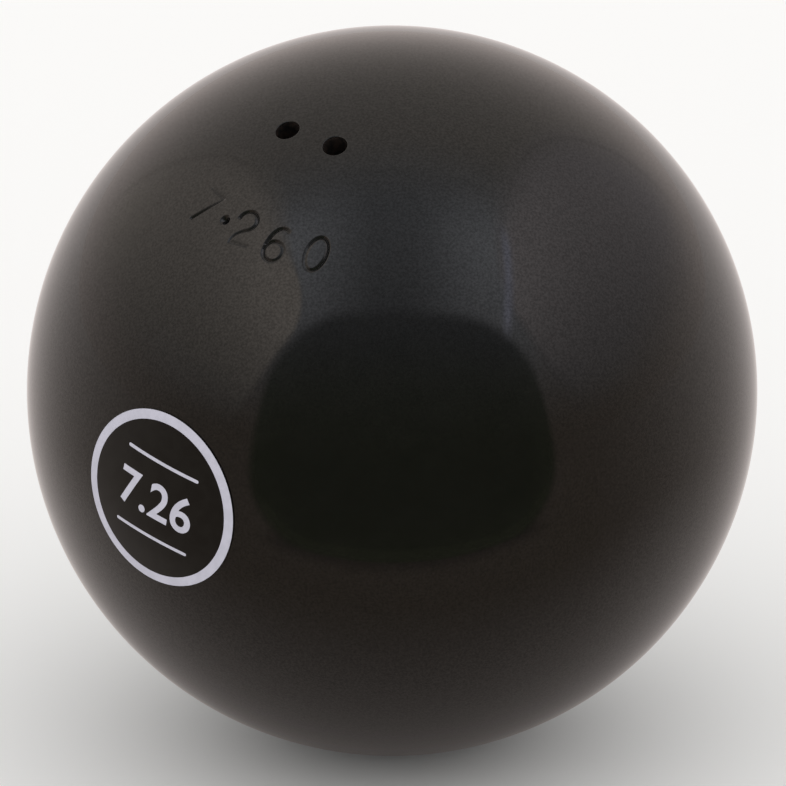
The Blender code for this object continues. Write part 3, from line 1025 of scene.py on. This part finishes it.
def new_material(name):
    """A material, its nodes, the places on the piece, and its shader's sockets."""
    material = bpy.data.materials.new(name)
    material.use_nodes = True
    nodes = Nodes(material.node_tree)
    place = nodes.add("TexCoord").outputs["Object"]
    return material, nodes, place, material.node_tree.nodes["Principled BSDF"].inputs


def gloss_paint(name, roughness):
    """Sprayed gloss black: a faint orange peel, fine grain in its shine, and thin smears."""
    material, nodes, place, shader = new_material(name)
    patches = nodes.noise(place, PAINT_PATCH, 3.0)
    nodes.put(nodes.mix(patches, *TONES["paint"]), shader["Base Color"])
    smears = nodes.noise(place, PAINT_SMEAR, 4.0)
    dull = nodes.ramp(smears, *NOISE_HIGH, roughness, 1.5 * roughness)
    nodes.put(dull, shader["Roughness"])
    grain = nodes.noise(place, PAINT_GRAIN)
    shine = nodes.ramp(grain, *NOISE_WIDE, *GRAIN_SHINE)
    nodes.put(shine, shader["Specular IOR Level"])
    peel = nodes.noise(place, PAINT_PEEL)
    nodes.put(nodes.bump(peel, PEEL_DEPTH), shader["Normal"])
    return material


def turned_metal(name, roughness, feed, depth):
    """Bare metal with the fine rings of a lathe tool round the plug's axis."""
    material, nodes, place, shader = new_material(name)
    along = nodes.vector("DOT_PRODUCT", place, PLUG_TURN.col[2])
    far = nodes.vector("LENGTH", place)
    across = nodes.math("SUBTRACT", nodes.times(far, far), nodes.times(along, along))
    rings = nodes.add("CombineXYZ")
    nodes.fill(rings.inputs, nodes.math("SQRT", across), along)
    marks = nodes.noise(rings.outputs[0], feed)
    stains = nodes.noise(place, METAL_STAIN, 5.0)
    nodes.put(nodes.mix(stains, *TONES[name]), shader["Base Color"])
    shader["Metallic"].default_value = 1.0
    dull = nodes.ramp(stains, *NOISE_NARROW, 1.3 * roughness, roughness)
    nodes.put(dull, shader["Roughness"])
    nodes.put(nodes.bump(marks, depth), shader["Normal"])
    return material


def mottled(name, patch, roughness, relief, depth, metallic=0.0, sheen=0.0, shine=0.5):
    """Patches of two tones, a roughness that follows them, and a fine relief."""
    material, nodes, place, shader = new_material(name)
    patches = nodes.noise(place, patch, 4.0)
    tones = nodes.mix(nodes.ramp(patches, *NOISE_NARROW), *TONES[name])
    nodes.put(tones, shader["Base Color"])
    dull = nodes.ramp(patches, *NOISE_MIDDLE, 1.2 * roughness, roughness)
    nodes.put(dull, shader["Roughness"])
    shader["Metallic"].default_value = metallic
    shader["Sheen Weight"].default_value = sheen
    shader["Specular IOR Level"].default_value = shine
    nodes.put(nodes.bump(nodes.noise(place, relief, 6.0), depth), shader["Normal"])
    return material


def seam_gleam(nodes, seen, way_back, way_up):
    """Adds the gleam of the seam between the roof and the right wall."""
    across = nodes.math("MULTIPLY_ADD", way_back, -GLEAM_SLOPE, way_up)
    gleam = nodes.times(
        nodes.ramp(way_back, *GLEAM_START),
        nodes.ramp(way_back, *GLEAM_END),
        nodes.ramp(nodes.gap(across, GLEAM_RISE), *GLEAM_REACH),
    )
    return nodes.mix(gleam, seen, GLEAM_COLOUR)


def side_wall(nodes, seen, x, back, up, side):
    """Adds a lit side wall and the wire hoop round it to what the ball mirrors."""
    middle, half, corner, lean, tint, front, rear = SIDE_WALLS[side]
    near = nodes.math("MAXIMUM", nodes.times(x, float(side)), LEAST_SIDEWAYS)
    way_up = nodes.math("DIVIDE", up, near)
    way_back = nodes.math("DIVIDE", back, near)
    leaning = nodes.math("MULTIPLY_ADD", way_up, lean, way_back)
    middle = (middle[0] + lean * middle[1], middle[1])
    outside = nodes.beyond(leaning, way_up, middle, half, corner)
    soft = nodes.ramp(way_back, *HOOP_BLUR)
    foot = nodes.ramp(way_up, *SIDE_FOOT)
    share = nodes.times(nodes.ramp(outside, nodes.times(soft, -1.0), soft, *FALL), foot)
    level = nodes.between(
        nodes.ramp(way_back, *SIDE_REAR),
        nodes.ramp(way_up, *SIDE_RISE, *front),
        nodes.ramp(way_up, *SIDE_RISE, *rear),
    )
    seen = nodes.mix(share, seen, nodes.scaled(tint, level))
    if side > 0:
        seen = seam_gleam(nodes, seen, way_back, way_up)
    wire = nodes.times(nodes.ramp(nodes.math("ABSOLUTE", outside), *HOOP_SHADE), foot)
    return nodes.scaled(seen, nodes.math("SUBTRACT", 1.0, wire))


def make_surroundings():
    """A white light tent, lit through its side walls, whose soft light is plain white.

    The camera sees plain white above the floor, and the ball mirrors the tent's walls.
    """
    world = bpy.data.worlds.new("light_tent")
    bpy.context.scene.world = world
    world.use_nodes = True
    world.node_tree.nodes.clear()
    nodes = Nodes(world.node_tree)
    x, back, up = nodes.split(nodes.add("TexCoord").outputs["Generated"])

    # The walls are palest at the back, and the roof is dimmest in front, between the side walls
    wall = nodes.mix(nodes.ramp(back, *WALL_TURN), WALL_DIM, WALL_WHITE)
    step = nodes.math("MULTIPLY_ADD", up, -ROOF_STEP_LEAN, back)
    roof = nodes.math("ADD", nodes.ramp(back, *ROOF_LEVEL), nodes.ramp(step, *ROOF_STEP))
    beside = nodes.ramp(nodes.math("ABSOLUTE", x), *ROOF_BESIDE)
    beside = nodes.times(beside, nodes.ramp(back, *ROOF_BESIDE_END))
    roof = nodes.math("MULTIPLY_ADD", roof, beside, roof)
    tint = nodes.mix(nodes.ramp(back, *ROOF_TURN), ROOF_COOL, ROOF_WARM)
    seen = nodes.mix(nodes.ramp(up, *WALL_TOP), wall, nodes.scaled(tint, roof))
    for side in SIDE_WALLS:
        seen = side_wall(nodes, seen, x, back, up, side)

    mirrored = nodes.add("Background")
    nodes.fill(mirrored.inputs, seen)
    light = nodes.add("Background")
    nodes.fill(light.inputs, (1.0, 1.0, 1.0, 1.0), SOFT_LIGHT)
    path = nodes.add("LightPath").outputs
    rays = nodes.math("MAXIMUM", path["Is Glossy Ray"], path["Is Transmission Ray"])
    nodes.either(rays, light, mirrored, nodes.add("OutputWorld"))


def staged(name, corners, material):
    """A flat sheet of the studio."""
    mesh = bpy.data.meshes.new(name)
    mesh.from_pydata(corners, [], [tuple(range(len(corners)))])
    mesh.materials.append(material)
    sheet = placed(name, mesh)
    return sheet


def only_mirrored(sheet):
    """Keeps a sheet of the studio out of the camera's view and out of the light."""
    sheet.visible_camera = False
    sheet.visible_diffuse = False
    sheet.visible_shadow = False


def paper(name):
    """A matt studio material, with what its colour needs."""
    material, nodes, place, shader = new_material(name)
    shader["Roughness"].default_value = 1.0
    shader["Specular IOR Level"].default_value = 0.0
    return material, nodes, place, shader["Base Color"]


def level_square(height):
    """Corners of a level square, as wide as the floor."""
    half = FLOOR_HALF
    return [(x * half, y * half, height) for x, y in ((-1, -1), (1, -1), (1, 1), (-1, 1))]


def make_floor():
    """Plain pale paper."""
    material, _, _, colour = paper("floor_paper")
    colour.default_value = (*FLOOR_WHITE, 1.0)
    staged("floor", level_square(-BALL_RADIUS), material)


def make_painted_shade_sheet():
    """A sheet laid on the floor, dim in front and beside, which only the ball mirrors: the dimness is painted
    shade.
    """
    material, nodes, place, base_colour = paper("painted_shade_sheet")
    x, back, _ = nodes.split(place)
    far = nodes.root_of_squares(x, back)
    behind = nodes.ramp(nodes.math("DIVIDE", back, far), *WALL_TURN, *FALL)
    lengthwise = nodes.math("MAXIMUM", nodes.times(back, PAINTED_SHADE_STRETCH), nodes.times(back, -1.0))
    away = nodes.root_of_squares(nodes.times(x, PAINTED_SHADE_STRETCH), lengthwise)
    # Painted shade on the floor, darkest in front of the ball
    dim = nodes.times(behind, nodes.ramp(away, *PAINTED_SHADE_REACH))
    colour = nodes.mix(dim, SHADE_SHEET_WHITE, WALL_DIM)
    # Painted shadow of the opening's foot
    beside = nodes.ramp(nodes.gap(x, OPENING_MIDDLE[0]), *FOOT_WIDTH)
    shade = nodes.times(nodes.ramp(back, *PAINTED_FOOT_SHADE), beside)
    nodes.put(nodes.scaled(colour, nodes.math("SUBTRACT", 1.0, shade)), base_colour)
    only_mirrored(staged("painted_shade_sheet", level_square(SHADE_SHEET_RISE - BALL_RADIUS), material))


def make_opening():
    """The tent's dark opening, which the ball mirrors; the camera looks in through it."""
    material, nodes, place, _ = new_material("opening_dark")
    x, _, up = nodes.split(place)
    middle_x, middle_up = OPENING_MIDDLE
    taper = nodes.math("MULTIPLY_ADD", up, OPENING_TAPER, 1.0 - OPENING_TAPER * middle_up)
    across = nodes.times(nodes.math("SUBTRACT", x, middle_x), taper)
    outside = nodes.beyond(across, up, (0.0, middle_up), OPENING_HALF, OPENING_CORNER)
    soft = nodes.ramp(up, *OPENING_BLUR)
    dark = nodes.ramp(outside, nodes.times(soft, -1.0), soft, *FALL)
    # A pale hem runs along the opening's foot
    hem = nodes.times(
        nodes.ramp(outside, *HEM_INNER),
        nodes.ramp(outside, *HEM_OUTER),
        nodes.ramp(up, *HEM_LEVEL),
    )
    through = nodes.add("BsdfTransparent")
    black = nodes.add("Emission")
    height = nodes.ramp(up, *OPENING_HEIGHT)
    colour = nodes.mix(height, OPENING_LOW, OPENING_HIGH)
    level = nodes.math("MULTIPLY_ADD", height, OPENING_GAIN, OPENING_LEVEL)
    level = nodes.math("ADD", level, nodes.ramp(outside, *OPENING_RIM))
    nodes.fill(black.inputs, colour, nodes.math("ADD", level, hem))
    nodes.either(dark, through, black, material.node_tree.nodes["Material Output"])
    wide, high = OPENING_CARD
    places = ((-wide, -BALL_RADIUS), (wide, -BALL_RADIUS), (wide, high), (-wide, high))
    card = staged("opening", [(x, 0.0, z) for x, z in places], material)
    card.location.y = -OPENING_DISTANCE
    only_mirrored(card)


make_camera()
make_surroundings()
make_floor()
make_painted_shade_sheet()
make_opening()
bpy.context.scene.view_settings.view_transform = "Standard"

black_paint = gloss_paint("black_paint", roughness=0.05)
plug_paint = gloss_paint("plug_paint", roughness=0.06)
bare_iron = turned_metal("bare_iron", roughness=0.38, feed=0.0002, depth=0.00001)
bright_steel = turned_metal("bright_steel", roughness=0.24, feed=0.0001, depth=0.000003)
red_fibre = mottled("red_fibre", patch=0.0008, roughness=0.5, relief=0.0002, depth=0.00002)
grey_felt = mottled(
    "grey_felt", patch=0.0006, roughness=0.9, relief=0.0005, depth=0.0002, sheen=0.4
)
dull_lead = mottled(
    "dull_lead", patch=0.0025, roughness=0.42, relief=0.0004, depth=0.00003, metallic=1.0
)
label_vinyl = mottled(
    "label_vinyl", patch=0.002, roughness=0.15, relief=0.0006, depth=0.000002, shine=0.36
)
pale_ink = mottled("pale_ink", patch=0.002, roughness=0.4, relief=0.0003, depth=0.000002)
grime = mottled("hole_grime", patch=0.001, roughness=0.6, relief=0.0003, depth=0.00006)

make_ball(black_paint, bare_iron)
make_plug(plug_paint, bright_steel, grime)
make_washer(red_fibre)
make_wad(grey_felt)
for pellet in range(1, 8):
    make_pellet(pellet, dull_lead)
make_lead_core(dull_lead)
make_label_film(label_vinyl)
make_label_print(pale_ink)
